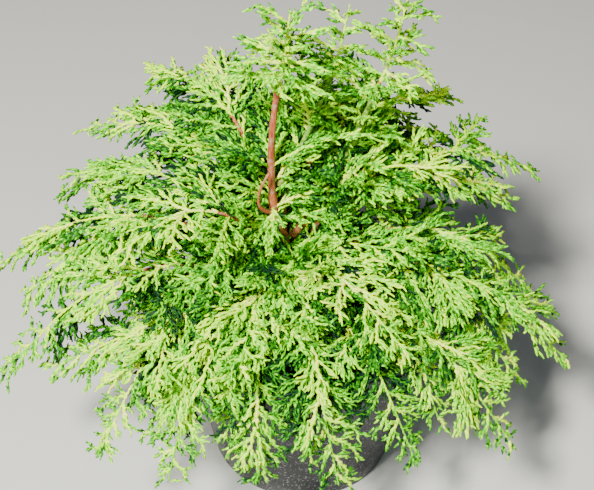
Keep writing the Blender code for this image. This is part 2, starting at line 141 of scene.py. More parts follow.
# %% Floor
FLOOR_HALF = 3.0

floor_mesh = bpy.data.meshes.new("floor")
floor_corners = [(x * FLOOR_HALF, y * FLOOR_HALF, 0) for x, y in ((-1, -1), (1, -1), (1, 1), (-1, 1))]
floor_mesh.from_pydata(floor_corners, [], [(0, 1, 2, 3)])
floor = bpy.data.objects.new("floor", floor_mesh)
bpy.context.scene.collection.objects.link(floor)
paint, tree, shader = new_material("pale_floor_paint")
wire(tree, shader, {"Base Color": "#c6c6c5", "Roughness": 0.8})
floor_mesh.materials.append(paint)
print("floor:", 2 * FLOOR_HALF, "m across")


# %% Lights
def softbox(name, place, aim, size, watts, colour):
    light = bpy.data.lights.new(name, "AREA")
    light.shape = "DISK"
    light.size = size
    light.energy = watts
    light.color = srgb(colour)[:3]
    lamp = bpy.data.objects.new(name, light)
    bpy.context.scene.collection.objects.link(lamp)
    lamp.location = place
    lamp.rotation_euler = (Vector(aim) - Vector(place)).to_track_quat("-Z", "Y").to_euler()


softbox("key_panel", (-0.50, -0.80, 1.42), (0, 0, 0.2), 0.25, 80, "#fffdf2")
softbox("fill_panel", (0.9, -1.0, 0.9), (0, 0, 0.2), 0.9, 5, "#eef4ff")
world = bpy.data.worlds.new("studio")
bpy.context.scene.world = world
world.use_nodes = True
wire(world.node_tree, world.node_tree.nodes["Background"], {"Color": "#dfe6ee", "Strength": 0.055})

# %% [markdown]
# ## The pot
#
# A nursery pot is black polypropylene, injection moulded: a thin tapered wall, a
# stepped collar that stiffens the rim, and holes in the floor. It could be a cylinder
# with modifiers, but a profile turned round the axis gives every step and rounding at
# its own height. The wall of a used pot is scuffed, dusty and splashed with compost.
# All sizes from here on are the model's own, so that each piece fits the next.

# %% Sizes of the pot
POT_HEIGHT = 0.135
POT_BASE_RADIUS = 0.066
POT_WALL_TOP_RADIUS = 0.0815
POT_COLLAR_RADIUS = 0.0855
POT_COLLAR_HEIGHT = 0.017
POT_WALL = 0.0016
POT_FLOOR = 0.0022
POT_SIDES = 128
DRAIN_HOLES = 6
DRAIN_HOLE_RADIUS = 0.0055
DRAIN_HOLE_RING = 0.047
print("pot, mm:", round(1000 * POT_HEIGHT), "high and", round(2000 * POT_COLLAR_RADIUS), "across its collar")


# %% Turn a profile round the axis
def compass(azimuth, radius, height):
    """The point at that azimuth, in degrees, and at that radius and height."""
    turn = math.radians(azimuth)
    return Vector((radius * math.cos(turn), radius * math.sin(turn), height))


def turned(name, profile, sides):
    """A mesh turned round Z from (radius, height) points."""
    mesh = bpy.data.meshes.new(name)
    shape = bmesh.new()
    rings = []
    for radius, height in profile:
        # A point on the axis is one vertex, and any other is a ring.
        azimuths = [360 * side / sides for side in range(sides if radius else 1)]
        rings.append([shape.verts.new(compass(azimuth, radius, height)) for azimuth in azimuths])
    for lower, upper in zip(rings, rings[1:]):
        for side in range(sides):
            after = (side + 1) % sides
            corners = [lower[side % len(lower)], lower[after % len(lower)]]
            corners += [upper[after % len(upper)], upper[side % len(upper)]]
            shape.faces.new(list(dict.fromkeys(corners)))
    bmesh.ops.recalc_face_normals(shape, faces=shape.faces)
    shape.to_mesh(mesh)
    shape.free()
    mesh.shade_smooth()
    mesh.set_sharp_from_angle(angle=math.radians(40))
    return mesh


# %% The pot's profile
def wall_radius(height):
    """Outside of the pot's wall, without its collar."""
    share = height / (POT_HEIGHT - POT_COLLAR_HEIGHT)
    return POT_BASE_RADIUS + (POT_WALL_TOP_RADIUS - POT_BASE_RADIUS) * share


def pot_profile():
    """Up the outside, over the rim, and down the inside to the floor."""
    foot = POT_HEIGHT - POT_COLLAR_HEIGHT
    inner_top = POT_COLLAR_RADIUS - POT_WALL
    step = foot + POT_WALL
    edge = 0.0008  # the rounding of the collar's edges
    outside = [(0.0, 0.0), (POT_BASE_RADIUS - 0.002, 0.0)]
    outside += [(POT_BASE_RADIUS - 0.0006, 0.0005), (POT_BASE_RADIUS, 0.002)]
    outside += [(wall_radius(foot * k / 6), foot * k / 6) for k in range(1, 6)]
    outside += [(wall_radius(foot), foot - edge), (wall_radius(foot) + edge, foot)]
    outside += [(POT_COLLAR_RADIUS - edge, foot), (POT_COLLAR_RADIUS, foot + edge)]
    outside += [(POT_COLLAR_RADIUS, POT_HEIGHT - edge), (POT_COLLAR_RADIUS - edge, POT_HEIGHT)]
    inside = [(inner_top, POT_HEIGHT), (inner_top, step), (wall_radius(step) - POT_WALL, step)]
    inside += [(wall_radius(POT_FLOOR) - POT_WALL, POT_FLOOR), (0.0, POT_FLOOR)]
    return outside + inside


# %% Black polypropylene, moulded, dusty
def black_polypropylene():
    """Moulded black polypropylene: nearly matt from an etched mould, grey where dust and splashes dried."""
    made, tree, shader = new_material("black_polypropylene")
    place = add(tree, "ShaderNodeTexCoord").outputs["Object"]
    # Dust lies in patches 25 mm wide, splashes dry as drops 4 mm wide, and grit sticks in spots of 1 to 2 mm.
    dust_inputs = {"Vector": place, "Scale": 1 / 0.025, "Detail": 6.0, "Roughness": 0.6}
    dust = add(tree, "ShaderNodeTexNoise", dust_inputs)
    film = add(tree, "ShaderNodeMapRange", {"Value": dust, "From Min": 0.45, "From Max": 0.75})
    cells = add(tree, "ShaderNodeTexVoronoi", {"Vector": place, "Scale": 1 / 0.007})
    drops = add(tree, "ShaderNodeMapRange", {"Value": cells, "From Min": 0.26, "From Max": 0.16})
    grit_inputs = {"Vector": place, "Scale": 1 / 0.0016, "Detail": 3.0, "Roughness": 0.6}
    grit = add(tree, "ShaderNodeTexNoise", grit_inputs)
    spots = add(tree, "ShaderNodeMapRange", {"Value": grit, "From Min": 0.59, "From Max": 0.65})
    colour = "#05070b"
    for share, over in ((film, "#171a22"), (drops, "#24262b"), (spots, "#8c8d90")):
        colour = add(tree, "ShaderNodeMix", {"Factor": share, "A": colour, "B": over}, data_type="RGBA")
    sheen = add(tree, "ShaderNodeMapRange", {"Value": film, "To Min": 0.28, "To Max": 0.62})
    # The mould's own grain is about 0.3 mm wide. It is drawn at 0.9 mm, coarse enough to show.
    grain_inputs = {"Vector": place, "Scale": 1 / 0.0009, "Detail": 2.0, "Roughness": 0.6}
    grain = add(tree, "ShaderNodeTexNoise", grain_inputs)
    bump = add(tree, "ShaderNodeBump", {"Height": grain, "Strength": 0.25, "Distance": 0.0004})
    wire(tree, shader, {"Base Color": colour, "Roughness": sheen, "Normal": bump, "Specular IOR Level": 0.25})
    return made


# %% Drill its drain holes
def drilled(body):
    """The pot with a hole cut for each drain, applied."""
    cutters = bpy.data.collections.new("drills")
    size = {"radius1": DRAIN_HOLE_RADIUS, "radius2": DRAIN_HOLE_RADIUS, "depth": 0.01}
    for hole in range(DRAIN_HOLES):
        drill = bpy.data.meshes.new("drill")
        shape = bmesh.new()
        bmesh.ops.create_cone(shape, cap_ends=True, segments=24, **size)
        place = compass(360 * hole / DRAIN_HOLES, DRAIN_HOLE_RING, 0.0)
        bmesh.ops.translate(shape, verts=shape.verts, vec=place)
        shape.to_mesh(drill)
        shape.free()
        cutters.objects.link(bpy.data.objects.new("drill", drill))
    holder = bpy.data.objects.new("holder", body)
    bpy.context.scene.collection.objects.link(holder)
    cut = holder.modifiers.new("drains", "BOOLEAN")
    cut.operation, cut.operand_type, cut.collection = "DIFFERENCE", "COLLECTION", cutters
    graph = bpy.context.evaluated_depsgraph_get()
    finished = bpy.data.meshes.new_from_object(holder.evaluated_get(graph))
    for helper in [holder, *cutters.objects]:
        bpy.data.objects.remove(helper)
    bpy.data.collections.remove(cutters)
    return finished


# %% Place the pot
def piece_of(name, mesh, finish, cad_nodes):
    """A finished mesh as a piece that rides with the plant and stands for those nodes of the model."""
    made = bpy.data.objects.new(name, mesh)
    bpy.context.scene.collection.objects.link(made)
    mesh.materials.append(finish)
    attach(made, "root")
    if cad_nodes:
        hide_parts(*cad_nodes)
    return made


pot_wall = drilled(turned("pot_wall", pot_profile(), POT_SIDES))
pot = piece_of("nursery_pot", pot_wall, black_polypropylene(), ["pot"])
print("pot:", len(pot.data.polygons), "faces")


# %% [markdown]
# ## The compost
#
# The pot is filled with composted bark: dark, moist, crumbly, with flat chips of
# bark and pale grit on top. The plug is turned like the pot, with a lumpy surface.
# The chips and the grit are small loose shapes scattered by a seeded draw and joined
# into one mesh each, which is lighter than one object for each.

# %% Turn the compost and roughen its top
GAP = 0.0003  # left between one part of the plant and the next
COMPOST_TOP = 0.121
COMPOST_CROWN = 0.0015
COMPOST_RADIUS = 0.078
COMPOST_SINK = 0.0006  # takes back the height that the lumps add
COMPOST_SIDES, COMPOST_RINGS = 96, 26


def surface_height(x, y):
    """Height of the compost there: a low crown with lumps 11 mm wide and crumbs of 4 mm."""
    share = min(1.0, math.hypot(x, y) / COMPOST_RADIUS)
    crown = COMPOST_TOP + COMPOST_CROWN * (1 - share)
    lumps = 0.0016 * noise.noise(Vector((x, y, 0.0)) / 0.011)
    lumps += 0.0010 * noise.noise(Vector((x, y, 4.0)) / 0.004)
    return crown + lumps * (1 - share**8) - COMPOST_SINK


def compost_mesh():
    foot = POT_FLOOR + GAP
    step = POT_HEIGHT - POT_COLLAR_HEIGHT + POT_WALL
    low, high = wall_radius(POT_FLOOR) - POT_WALL - GAP, wall_radius(step) - POT_WALL - GAP
    profile = [(0.0, foot), (low, foot), (high, step - GAP), (high, COMPOST_TOP - 0.001)]
    shares = [1 - ring / COMPOST_RINGS for ring in range(1, COMPOST_RINGS)] + [0.0]
    profile += [(high * share, COMPOST_TOP) for share in shares]
    mesh = turned("compost", profile, COMPOST_SIDES)
    for vertex in mesh.vertices:
        if vertex.co.z > COMPOST_TOP - 0.0005:
            vertex.co.z = surface_height(vertex.co.x, vertex.co.y)
    return mesh


def bark_compost():
    """Composted bark: dark brown, matt and moist, with crumbs from 1 to 4 mm."""
    made, tree, shader = new_material("bark_compost")
    place = add(tree, "ShaderNodeTexCoord").outputs["Object"]
    crumbs_inputs = {"Vector": place, "Scale": 1 / 0.004, "Detail": 8.0, "Roughness": 0.7}
    crumbs = add(tree, "ShaderNodeTexNoise", crumbs_inputs)
    dark = add(tree, "ShaderNodeMapRange", {"Value": crumbs, "From Min": 0.35, "From Max": 0.7})
    fine_inputs = {"Vector": place, "Scale": 1 / 0.0012, "Detail": 3.0, "Roughness": 0.7}
    fine = add(tree, "ShaderNodeTexNoise", fine_inputs)
    pale = add(tree, "ShaderNodeMapRange", {"Value": fine, "From Min": 0.62, "From Max": 0.72})
    colour = add(tree, "ShaderNodeMix", {"Factor": dark, "A": "#1d1511", "B": "#4a3626"}, data_type="RGBA")
    colour = add(tree, "ShaderNodeMix", {"Factor": pale, "A": colour, "B": "#7a6248"}, data_type="RGBA")
    bump = add(tree, "ShaderNodeBump", {"Height": crumbs, "Strength": 0.8, "Distance": 0.0015})
    wire(tree, shader, {"Base Color": colour, "Roughness": 0.92, "Normal": bump})
    return made


compost = piece_of("compost_plug", compost_mesh(), bark_compost(), ["compost"])
print("compost:", len(compost.data.polygons), "faces")


# %% Scatter chips and grit on it
SCATTER_RADIUS = 0.073


def scattered(name, count, sizes, flatness, seed):
    """Small rough lumps lying on the compost, half as long again as wide, joined in one mesh."""
    draw = random.Random(seed)
    shape = bmesh.new()
    for _ in range(count):
        reach = SCATTER_RADIUS * math.sqrt(draw.random())
        turn = draw.uniform(0, 2 * math.pi)
        x, y = reach * math.cos(turn), reach * math.sin(turn)
        size = draw.uniform(*sizes)
        made = bmesh.ops.create_icosphere(shape, subdivisions=1, radius=size / 2)["verts"]
        spin = draw.uniform(0, 2 * math.pi)
        tip = draw.uniform(-0.35, 0.35)
        for vertex in made:
            rough = 1 + 0.35 * noise.noise(vertex.co * 700 + Vector((seed, x * 900, y * 900)))
            p = vertex.co * rough
            p = Vector((p.x * 1.5, p.y * draw.uniform(0.8, 0.9), p.z * flatness + p.x * tip))
            vertex.co = (
                x + p.x * math.cos(spin) - p.y * math.sin(spin),
                y + p.x * math.sin(spin) + p.y * math.cos(spin),
                surface_height(x, y) + size * flatness * 0.3 + p.z,
            )
    mesh = bpy.data.meshes.new(name)
    shape.to_mesh(mesh)
    shape.free()
    return mesh


# %% Bark and pumice
def bark_chip():
    """Chips of pine bark: red-brown outside, paler where they broke."""
    made, tree, shader = new_material("bark_chips")
    place = add(tree, "ShaderNodeTexCoord").outputs["Object"]
    # One face of a chip, 3 to 8 mm long, is of one shade or two.
    faces_inputs = {"Vector": place, "Scale": 1 / 0.005, "Detail": 4.0, "Roughness": 0.6}
    faces = add(tree, "ShaderNodeTexNoise", faces_inputs)
    share = add(tree, "ShaderNodeMapRange", {"Value": faces, "From Min": 0.35, "From Max": 0.65})
    colour = add(tree, "ShaderNodeMix", {"Factor": share, "A": "#2b1c14", "B": "#7d5638"}, data_type="RGBA")
    wire(tree, shader, {"Base Color": colour, "Roughness": 0.85})
    return made


def pale_grit():
    """Crushed pumice and quartz grit: dull, pale grey to buff."""
    made, tree, shader = new_material("pale_grit")
    place = add(tree, "ShaderNodeTexCoord").outputs["Object"]
    # The pattern is wider than a grain, so that each grain gets a shade of its own.
    shade_inputs = {"Vector": place, "Scale": 1 / 0.006, "Detail": 3.0, "Roughness": 0.6}
    shade = add(tree, "ShaderNodeTexNoise", shade_inputs)
    share = add(tree, "ShaderNodeMapRange", {"Value": shade, "From Min": 0.4, "From Max": 0.6})
    colour = add(tree, "ShaderNodeMix", {"Factor": share, "A": "#8d8577", "B": "#cfc8b8"}, data_type="RGBA")
    wire(tree, shader, {"Base Color": colour, "Roughness": 0.7})
    return made


chip_mesh = scattered("chips", 420, (0.003, 0.008), 0.35, 3)
chips = piece_of("bark_chips", chip_mesh, bark_chip(), [])
grit_mesh = scattered("grit", 110, (0.0012, 0.0026), 0.8, 5)
grit = piece_of("pale_grit", grit_mesh, pale_grit(), [])
print("chips and grit:", len(chips.data.polygons) + len(grit.data.polygons), "faces")


# %% [markdown]
# ## Trunk, leaders and boughs
#
# The wood under the foliage is thin: a trunk as thick as a finger and boughs like
# knitting needles. The bark is red-brown and fibrous, and flakes grey in places. The
# two youngest limbs are still green, and an old bare twig curls at the leader's foot.
# A curve with a bevel would give smooth tubes. So each limb is a tube of many rings
# instead, pushed in and out along its grain by noise, and limbs of one bark are joined.

# %% Sizes of the trunk and the leaders
UP = Vector((0.0, 0.0, 1.0))
TRUNK_FOOT = Vector((-0.006, 0.004, COMPOST_TOP + COMPOST_CROWN + GAP))
TRUNK_FORK = Vector((-0.018, 0.010, 0.196))
TRUNK_BOW = Vector((0.003, -0.002, 0.0))
TRUNK_FLARE_RADIUS, TRUNK_RADIUS, TRUNK_FORK_RADIUS = 0.0095, 0.0062, 0.0046
TRUNK_FLARE_HEIGHT = 0.012
# The radii of a limb are given at its foot and at its tip.
LEADER_RADII, BOUGH_RADII = (0.0028, 0.0017), (0.0022, 0.0013)
LEADER_LEFT_TIP = Vector((-0.014, 0.012, 0.304))
LEADER_RIGHT_TIP = Vector((0.044, 0.030, 0.284))
TOP_BOUGH_TIP = Vector((0.016, 0.034, 0.292))
LEADER_BOW = Vector((-0.005, 0.003, 0.0))
LEADER_RIGHT_LEVEL, TOP_BOUGH_LEVEL = 0.182, 0.222  # heights at which they leave their parents
# How far above its chord a limb sets off. The leaders set off below theirs and straighten up.
LEADER_ARCH, BOUGH_ARCH = -0.3, 0.42
print("trunk, mm:", round(1000 * (TRUNK_FORK - TRUNK_FOOT).length), "from the compost to the fork")

# %% Sizes of the boughs, and of the masses that they carry
# HEART is the plant's middle line. Each mass has the azimuth and reach of its furthest tip from it,
# and the height of that tip.
HEART = Vector((-0.014, 0.008, 0.0))
SKIRT = (
    (355, 0.168, 0.146), (18, 0.178, 0.196), (44, 0.162, 0.180), (72, 0.146, 0.165),
    (101, 0.140, 0.172), (135, 0.150, 0.206), (161, 0.160, 0.178), (179, 0.188, 0.156),
    (202, 0.190, 0.131), (226, 0.160, 0.112), (243, 0.152, 0.104), (264, 0.128, 0.102),
    (285, 0.138, 0.098), (306, 0.141, 0.102), (322, 0.182, 0.112), (340, 0.194, 0.137),
)
MIDDLE = (
    (4, 0.129, 0.216), (49, 0.105, 0.228), (91, 0.091, 0.230), (131, 0.134, 0.240),
    (202, 0.112, 0.204), (257, 0.106, 0.172), (308, 0.122, 0.178),
)
# A bough covers this share of the way out to that tip.
SKIRT_BOUGH_SHARE, MIDDLE_BOUGH_SHARE = 0.34, 0.28
# A skirt bough ends midway in height between that tip and SKIRT_ARCH, a middle one a little above its tip.
SKIRT_ARCH, MIDDLE_RISE = 0.234, 0.006
# Boughs leave the trunk at these heights, in turn.
SKIRT_LEVELS, MIDDLE_LEVELS = (0.1385, 0.1325, 0.1505, 0.1445), (0.1675, 0.1595)
print(len(SKIRT) + len(MIDDLE), "boughs, each with a mass of foliage")


# %% Curves and directions
def bezier(a, b, c, d, count):
    """count + 1 points along the cubic curve a, b, c, d."""
    points = []
    for step in range(count + 1):
        t = step / count
        s = 1.0 - t
        points.append(s**3 * a + 3 * s * s * t * b + 3 * s * t * t * c + t**3 * d)
    return points


def taper(ends, count):
    """count + 1 even steps from one end's value to the other's."""
    return [ends[0] + (ends[1] - ends[0]) * step / count for step in range(count + 1)]


def square_to(vector, axis):
    """The part of a vector that is square to an axis, made 1 long."""
    return (vector - axis * vector.dot(axis)).normalized()


# %% Follow the trunk and measure it
LIMB_STEPS = 40


def trunk_line():
    lean = TRUNK_FORK - TRUNK_FOOT
    low, high = TRUNK_FOOT + lean / 3 + TRUNK_BOW, TRUNK_FORK - lean / 3 + TRUNK_BOW
    centres = bezier(TRUNK_FOOT, low, high, TRUNK_FORK, LIMB_STEPS)
    radii = []
    for centre in centres:
        rise = centre.z - TRUNK_FOOT.z
        flare = max(0.0, 1.0 - rise / TRUNK_FLARE_HEIGHT) ** 2
        plain = TRUNK_RADIUS + (TRUNK_FORK_RADIUS - TRUNK_RADIUS) * rise / lean.z
        radii.append(plain + (TRUNK_FLARE_RADIUS - TRUNK_RADIUS) * flare)
    return centres, radii


def at_height(line, height):
    """Centre and radius of a limb where it passes that height."""
    centres, radii = line
    for low, high, r_low, r_high in zip(centres, centres[1:], radii, radii[1:]):
        if low.z <= height <= high.z:
            share = (height - low.z) / (high.z - low.z)
            return low.lerp(high, share), r_low + (r_high - r_low) * share
    raise ValueError(f"no limb at {height}")


# %% Follow each limb's curve
def leave(line, height, radius, towards, arch):
    """Where a limb of that radius starts, at the skin of its parent, and its first direction."""
    centre, parent_radius = at_height(line, height)
    leaving = ((towards - centre).normalized() + UP * arch).normalized()
    out = Vector((leaving.x, leaving.y, 0.0)).normalized()
    return centre + out * (parent_radius + GAP * 1.5 + radius * leaving.z), leaving


def limb_line(parent, height, end, arch, radii):
    start, leaving = leave(parent, height, radii[0], end, arch)
    chord = end - start
    arriving = (chord.normalized() - UP * arch).normalized()
    handle = chord.length / 3
    centres = bezier(start, start + leaving * handle, end - arriving * handle, end, LIMB_STEPS)
    return centres, taper(radii, LIMB_STEPS)


def leader_left_line():
    start = TRUNK_FORK + UP * (GAP * 2 + LEADER_RADII[0] * 0.25)
    rise = LEADER_LEFT_TIP - start
    low, high = start + rise * 0.3 + LEADER_BOW, start + rise * 0.7 + LEADER_BOW
    return bezier(start, low, high, LEADER_LEFT_TIP, LIMB_STEPS), taper(LEADER_RADII, LIMB_STEPS)


lines = {"trunk": trunk_line(), "leader_left": leader_left_line()}
for name, parent, level, tip, radii in (
    ("leader_right", "trunk", LEADER_RIGHT_LEVEL, LEADER_RIGHT_TIP, LEADER_RADII),
    ("top_bough", "leader_left", TOP_BOUGH_LEVEL, TOP_BOUGH_TIP, BOUGH_RADII),
):
    lines[name] = limb_line(lines[parent], level, tip, LEADER_ARCH, radii)
for tier, table, share, levels in (
    ("skirt", SKIRT, SKIRT_BOUGH_SHARE, SKIRT_LEVELS),
    ("middle", MIDDLE, MIDDLE_BOUGH_SHARE, MIDDLE_LEVELS),
):
    for number, (azimuth, reach, height) in enumerate(table, start=1):
        end_height = (height + SKIRT_ARCH) / 2 if tier == "skirt" else height + MIDDLE_RISE
        end = HEART + compass(azimuth, reach * share, end_height)
        level = levels[number % len(levels)]
        lines[f"{tier}_bough_{number:02d}"] = limb_line(lines["trunk"], level, end, BOUGH_ARCH, BOUGH_RADII)
print(len(lines), "limbs")


# %% Build the wood from rings
def tangents(points):
    """The direction of a chain at each of its points."""
    ends = [points[0], *points, points[-1]]
    return [(after - before).normalized() for before, after in zip(ends, ends[2:])]


def wood_mesh(name, members, sides, furrow):
    """Tubes with bark relief. furrow is the depth of the grooves along the grain, as a share of radius."""
    points, faces = [], []
    for member, (centres, radii) in enumerate(members):
        along = tangents(centres)
        across = along[0].orthogonal().normalized()
        first = len(points)
        for step, (centre, direction, radius) in enumerate(zip(centres, along, radii)):
            across = square_to(across, direction)
            other = direction.cross(across)
            for side in range(sides):
                turn = 2 * math.pi * side / sides
                outward = across * math.cos(turn) + other * math.sin(turn)
                groove = Vector((math.cos(turn) * 2.6, math.sin(turn) * 2.6, step * 0.16 + member * 9))
                grain = noise.noise(groove)
                knots = noise.noise(centre * 160 + outward * 0.6)
                points.append(centre + outward * radius * (0.94 + furrow * grain + 0.10 * knots))
        for ring in range(len(centres) - 1):
            for side in range(sides):
                after = (side + 1) % sides
                low, high = first + ring * sides, first + (ring + 1) * sides
                faces.append((low + side, low + after, high + after, high + side))
        faces.append(tuple(reversed(range(first, first + sides))))
        faces.append(tuple(range(len(points) - sides, len(points))))
    mesh = bpy.data.meshes.new(name)
    mesh.from_pydata([tuple(p) for p in points], [], faces)
    mesh.shade_smooth()
    return mesh


# %% An old side twig, bare and bent
# It leaves the foot of the left leader and curls back against it.
TWIG_BENDS = [Vector(at) for at in ((-0.032, 0.000, 0.212), (-0.030, 0.001, 0.226), (-0.021, 0.005, 0.240))]
TWIG_RADII = (0.0016, 0.0008)
TWIG_STEPS = 12

twig_foot = lines["leader_left"][0][2]
old_twig = bezier(twig_foot, *TWIG_BENDS, TWIG_STEPS), taper(TWIG_RADII, TWIG_STEPS)
print("old twig, mm:", round(1000 * (TWIG_BENDS[-1] - twig_foot).length), "from foot to tip")


# %% Old bark
def red_bark():
    """Bark of a young false cypress: thin, red-brown, fibrous, with grey flakes where old skin holds."""
    made, tree, shader = new_material("red_brown_bark")
    place = add(tree, "ShaderNodeTexCoord").outputs["Object"]
    # Fibres run up the stem: about 0.5 mm apart across it and ten times as long. Flakes are 6 mm wide.
    along = {"Vector": place, "Vector_001": (1.0, 1.0, 0.12)}
    stem = add(tree, "ShaderNodeVectorMath", along, operation="MULTIPLY")
    fibres_inputs = {"Vector": stem, "Scale": 1 / 0.0009, "Detail": 4.0, "Roughness": 0.6}
    fibres = add(tree, "ShaderNodeTexNoise", fibres_inputs)
    ridges = add(tree, "ShaderNodeMapRange", {"Value": fibres, "From Min": 0.35, "From Max": 0.65})
    patches_inputs = {"Vector": place, "Scale": 1 / 0.006, "Detail": 3.0, "Roughness": 0.6}
    patches = add(tree, "ShaderNodeTexNoise", patches_inputs)
    flakes = add(tree, "ShaderNodeMapRange", {"Value": patches, "From Min": 0.52, "From Max": 0.66})
    colour = add(tree, "ShaderNodeMix", {"Factor": ridges, "A": "#86381a", "B": "#cc6c44"}, data_type="RGBA")
    colour = add(tree, "ShaderNodeMix", {"Factor": flakes, "A": colour, "B": "#b08a72"}, data_type="RGBA")
    bump = add(tree, "ShaderNodeBump", {"Height": fibres, "Strength": 0.7, "Distance": 0.0006})
    wire(tree, shader, {"Base Color": colour, "Roughness": 0.75, "Normal": bump})
    return made


# %% Young bark
GREEN_FROM, GREEN_FULL = 0.205, 0.235  # heights between which the two younger limbs turn green


def young_bark():
    """A limb's first years: brown at its foot, and green further up, where living scales still cover it."""
    made, tree, shader = new_material("young_green_bark")
    place = add(tree, "ShaderNodeTexCoord").outputs["Object"]
    # Scale leaves that have withered onto the bark are about 1.6 mm wide.
    scales_inputs = {"Vector": place, "Scale": 1 / 0.0016, "Detail": 3.0, "Roughness": 0.6}
    scales = add(tree, "ShaderNodeTexNoise", scales_inputs)
    edges = add(tree, "ShaderNodeMapRange", {"Value": scales, "From Min": 0.38, "From Max": 0.62})
    brown = add(tree, "ShaderNodeMix", {"Factor": edges, "A": "#6e3a18", "B": "#a86a38"}, data_type="RGBA")
    green = add(tree, "ShaderNodeMix", {"Factor": edges, "A": "#3f7a12", "B": "#9cc63a"}, data_type="RGBA")
    height = add(tree, "ShaderNodeSeparateXYZ", {"Vector": place}).outputs["Z"]
    youth = add(tree, "ShaderNodeMapRange", {"Value": height, "From Min": GREEN_FROM, "From Max": GREEN_FULL})
    colour = add(tree, "ShaderNodeMix", {"Factor": youth, "A": brown, "B": green}, data_type="RGBA")
    bump = add(tree, "ShaderNodeBump", {"Height": scales, "Strength": 0.8, "Distance": 0.0006})
    wire(tree, shader, {"Base Color": colour, "Roughness": 0.6, "Normal": bump})
    return made


# %% Place the wood
BARK = red_bark()
leader_names = ["trunk", "leader_left"]
young_names = ["leader_right", "top_bough"]
bough_names = [name for name in lines if name not in leader_names + young_names]
# The trunk and the left leader are drawn as one stem, so that no seam shows where one ends.
main_stem = [lines["trunk"][part] + lines["leader_left"][part] for part in (0, 1)]
wood = piece_of("trunk_and_leader", wood_mesh("trunk", [main_stem], 20, 0.22), BARK, leader_names)
bough_lines = [lines[name] for name in bough_names] + [old_twig]
boughs = piece_of("boughs", wood_mesh("boughs", bough_lines, 9, 0.14), BARK, bough_names)
young_mesh = wood_mesh("young_limbs", [lines[n] for n in young_names], 12, 0.14)
young = piece_of("young_limbs", young_mesh, young_bark(), young_names)
print("wood:", sum(len(piece.data.polygons) for piece in (wood, boughs, young)), "faces")


# %% [markdown]
# ## Shoots clad in scales
#
# A false cypress has no needles on its older shoots. Each shoot is a cord of tiny
# overlapping scales in crossed pairs: one pair stands out to the sides, the next lies
# on the faces, and so on, every millimetre or two. A tube with four edges draws this
# cheaply: on even rings the side edges stand out, on odd rings the face edges do.
# Each scale has a lit side and a shaded one, so the quads are one tint darker by turns.
# There are thousands of shoots, so they are only noted down as they grow, and one
# calculation in numpy then makes all their rings at once.

# %% Write a shoot down
RING_STEP = 0.0020  # from one pair of scales to the next, drawn a little coarse
SHOOT_WIDTH = 0.0027
AXIS_WIDTH = 0.0034
TINTS = ("shade", "deep", "green", "fresh", "lime", "gold", "straw")
shoots = []


def write_down(root, heading, face, length, width, sweep, droop, base, tip):
    """A shoot from root along heading. It sweeps to its right and droops away from face."""
    shoots.append((*root, *heading, *face, length, width, sweep, droop, base, tip))


def along_shoot(root, heading, face, length, sweep, droop, share):
    """The point and direction at that share of a shoot's length."""
    right = heading.cross(face)
    place = root + (heading * share + (right * sweep - face * droop) * share * share) * length
    return place, (heading + (right * sweep - face * droop) * 2 * share).normalized()


# %% Make every shoot's rings at once
WAVE_HEIGHT, WAVE_LENGTH = 0.0006, 0.013  # no shoot is quite straight
# A shoot's width at shares of its length, as a share of its full width.
OUTLINE_AT = (0.0, 0.15, 0.6, 0.9, 1.0)
OUTLINE_WIDTH = (0.72, 1.0, 0.97, 0.85, 0.45)
TIP_FROM = 0.45  # the share of a shoot's length from which it has its tip's tint
# How far a ring's corners stand out, as shares of half a shoot's width, on even rings and on odd ones.
SIDE_SCALES = (1.05, 0.42)
FACE_SCALES = (0.42, 0.86)


def normalised(vectors):
    return vectors / np.linalg.norm(vectors, axis=-1, keepdims=True)


def ring_corners(centres, along, faces, widths, env, wobble):
    """Corners (..., rings, 4, 3) of rings about centres, alternating which pair of scales stands out."""
    side = normalised(np.cross(along, faces))
    over = np.cross(side, along)
    odd = np.arange(centres.shape[-2]) % 2
    out = widths / 2 * np.where(odd, SIDE_SCALES[1], SIDE_SCALES[0]) * env * wobble
    up = widths / 2 * np.where(odd, FACE_SCALES[1], FACE_SCALES[0]) * env
    corners = [side * out[..., None], over * up[..., None], -side * out[..., None], -over * up[..., None]]
    return centres[..., None, :] + np.stack(corners, axis=-2)


def quads_of(count, steps):
    """Quads (count, steps * 4 + 1, 4) over rings of four corners, with a cap on each tip."""
    ring = np.arange(steps)[:, None] * 4
    side = np.arange(4)[None]
    after = (side + 1) % 4
    one = np.stack([ring + side, ring + after, ring + 4 + after, ring + 4 + side], axis=-1).reshape(-1, 4)
    one = np.concatenate([one, steps * 4 + np.array([[0, 1, 2, 3]])])
    return one[None] + (np.arange(count) * (steps + 1) * 4)[:, None, None]


